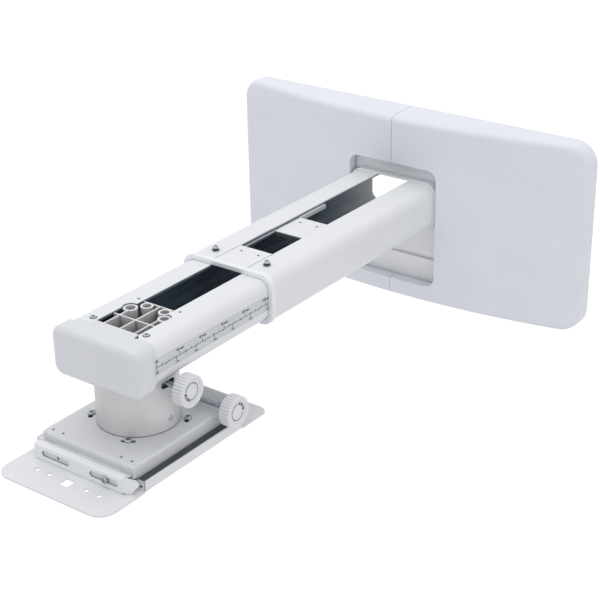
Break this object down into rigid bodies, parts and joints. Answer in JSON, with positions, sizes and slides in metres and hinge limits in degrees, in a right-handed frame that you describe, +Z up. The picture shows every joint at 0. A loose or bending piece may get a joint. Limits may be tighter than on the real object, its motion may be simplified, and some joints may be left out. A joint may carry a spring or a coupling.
{
  "type": "projector wall mount",
  "caption": "Wall bracket for a projector: bowed wall cover, telescopic slotted arm with a length scale, a drum that tilts and turns, and a sliding plate with screw holes.",
  "frame": {"origin": "on the wall, at the centre of the four wall slots and of the wall cover", "axes": "+X to the right along the wall, +Y into the wall, +Z up; the arm reaches out along -Y"},
  "size_m": [0.435, 0.5675, 0.205],
  "materials": {
    "cover_plastic": "fine satin",
    "white_coat": "satin powder coat",
    "grey_coat": "matt powder coat",
    "cap_plastic": "glossy",
    "collar_plastic": "satin",
    "drum_metal": "cast, satin",
    "knob_plastic": "satin",
    "insert_plastic": "matt",
    "glide_plastic": "matt",
    "pad_plastic": "matt",
    "scale_film": "printed film",
    "zinc": "zinc plated"
  },
  "bodies": {
    "wall_bracket": {"wall_plate": "grey_coat", "cover_left": "cover_plastic", "cover_right": "cover_plastic"},
    "carriage_body": {"carriage": "white_coat", "carriage_clamp": "grey_coat", "carriage_bolts": "zinc", "carriage_nuts": "zinc", "outer_arm": "white_coat", "arm_collar": "collar_plastic", "near_bridge": "white_coat", "lock_screws": "zinc"},
    "arm_body": {"inner_arm": "white_coat", "far_bridge": "white_coat", "arm_glides": "pad_plastic", "ruler_label": "scale_film", "end_cap": "cap_plastic", "cap_screws": "zinc", "grid_insert": "insert_plastic", "tilt_yoke": "grey_coat", "yoke_screws": "zinc"},
    "tilt_handle": {"tilt_knob": "knob_plastic", "tilt_rod": "zinc"},
    "drum_body": {"drum": "drum_metal", "tilt_pin": "zinc", "yaw_ring": "grey_coat", "ring_bolt": "zinc", "yaw_screws": "zinc"},
    "tray_body": {"tray": "white_coat", "tray_screw": "zinc", "adjuster_bracket": "white_coat", "lock_bar_screw": "zinc"},
    "adjuster_handle": {"adjuster_knob": "knob_plastic", "adjuster_rod": "zinc"},
    "plate_body": {"projector_plate": "white_coat", "glide_left": "glide_plastic", "glide_right": "glide_plastic"},
    "lock_body": {"lock_bar": "white_coat"}
  },
  "joints": [
    {"name": "height_slide", "type": "slide", "parent": "wall_bracket", "child": "carriage_body", "axis": [0, 0, 1], "range_m": [-0.035, 0.012]},
    {"name": "arm_slide", "type": "slide", "parent": "carriage_body", "child": "arm_body", "axis": [0, 1, 0], "range_m": [-0.065, 0.085]},
    {"name": "tilt", "type": "hinge", "parent": "arm_body", "child": "drum_body", "pos_m": [0, -0.449, -0.0555], "axis": [1, 0, 0], "range_deg": [-5, 5]},
    {"name": "tilt_knob_spin", "type": "hinge", "parent": "arm_body", "child": "tilt_handle", "pos_m": [0.05, -0.449, -0.0213], "axis": [1, 0, 0], "continuous": true},
    {"name": "yaw", "type": "hinge", "parent": "drum_body", "child": "tray_body", "pos_m": [0, -0.449, -0.0665], "axis": [0, 0, 1], "range_deg": [-6, 6]},
    {"name": "adjuster_spin", "type": "hinge", "parent": "tray_body", "child": "adjuster_handle", "pos_m": [0.05, -0.402, -0.06], "axis": [1, 0, 0], "continuous": true},
    {"name": "plate_slide", "type": "slide", "parent": "tray_body", "child": "plate_body", "axis": [0, 1, 0], "range_m": [0, 0.035]},
    {"name": "lock_slide", "type": "slide", "parent": "tray_body", "child": "lock_body", "axis": [1, 0, 0], "range_m": [-0.012, 0.012]}
  ]
}
